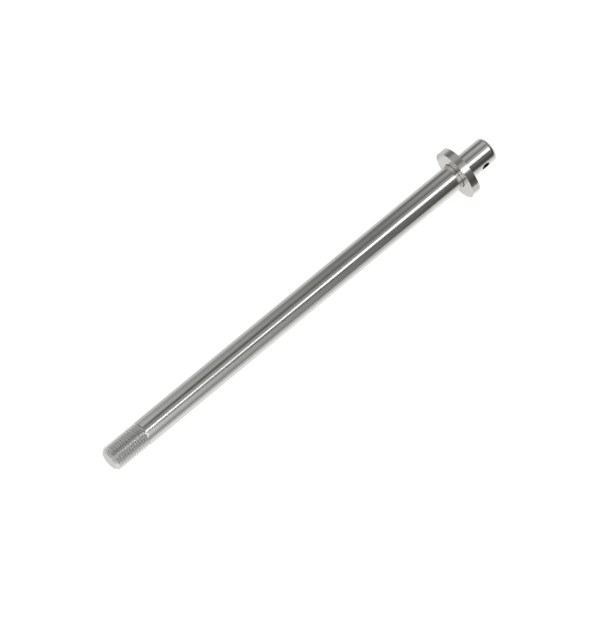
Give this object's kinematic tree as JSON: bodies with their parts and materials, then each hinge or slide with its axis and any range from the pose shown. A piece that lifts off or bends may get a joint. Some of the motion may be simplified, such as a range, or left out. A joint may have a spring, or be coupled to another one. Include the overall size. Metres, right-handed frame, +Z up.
{
  "type": "stud bolt",
  "caption": "Long plain stud bolt: a threaded end, a ground shank, a thick round collar and a short round-ended stub with a cross hole for a split pin.",
  "frame": {"origin": "on the floor under the middle of the stud, as it lies at rest on its thread and its collar's rim", "axes": "+X along the stud from the thread to the stub, as seen from above, +Z up, and +Y level, along the cross hole; the stud's own axis rises towards the collar by 1.76 degrees"},
  "size_m": [0.4163, 0.045, 0.0452],
  "materials": {
    "ground_stainless": "ground stainless steel, cut thread"
  },
  "bodies": {
    "root": {"stud": "ground_stainless"}
  },
  "joints": []
}
